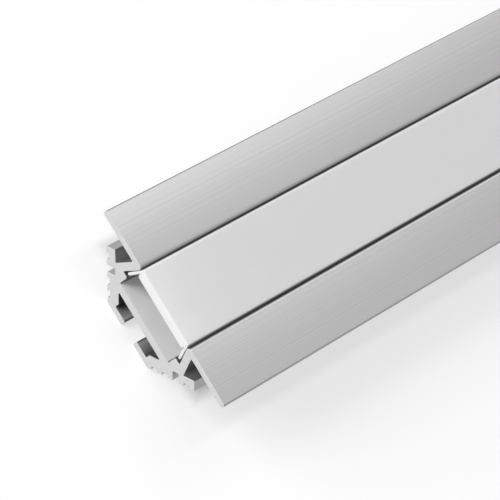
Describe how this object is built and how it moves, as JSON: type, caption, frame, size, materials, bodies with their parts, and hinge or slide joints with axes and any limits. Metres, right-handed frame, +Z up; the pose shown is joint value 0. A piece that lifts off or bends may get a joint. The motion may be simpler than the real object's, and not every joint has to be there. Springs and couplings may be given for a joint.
{
  "type": "led strip profile",
  "caption": "Aluminium profile for an LED strip, with side wings, a snap-in opal diffuser, a strip channel, a clip channel and ridged 45 degree mounting flanges.",
  "frame": {"origin": "middle of the length, on the flat bottom that the stock lies on", "axes": "+X along the stock, +Y across it from wing to wing, +Z up, from the flat bottom to the lit front"},
  "size_m": [1, 0.03, 0.0102],
  "materials": {
    "anodised_aluminium": "clear anodised, fine lengthwise die lines, sawn ends",
    "opal_plastic": "opal white, satin"
  },
  "bodies": {
    "root": {"extrusion": "anodised_aluminium", "diffuser": "opal_plastic"}
  },
  "joints": []
}
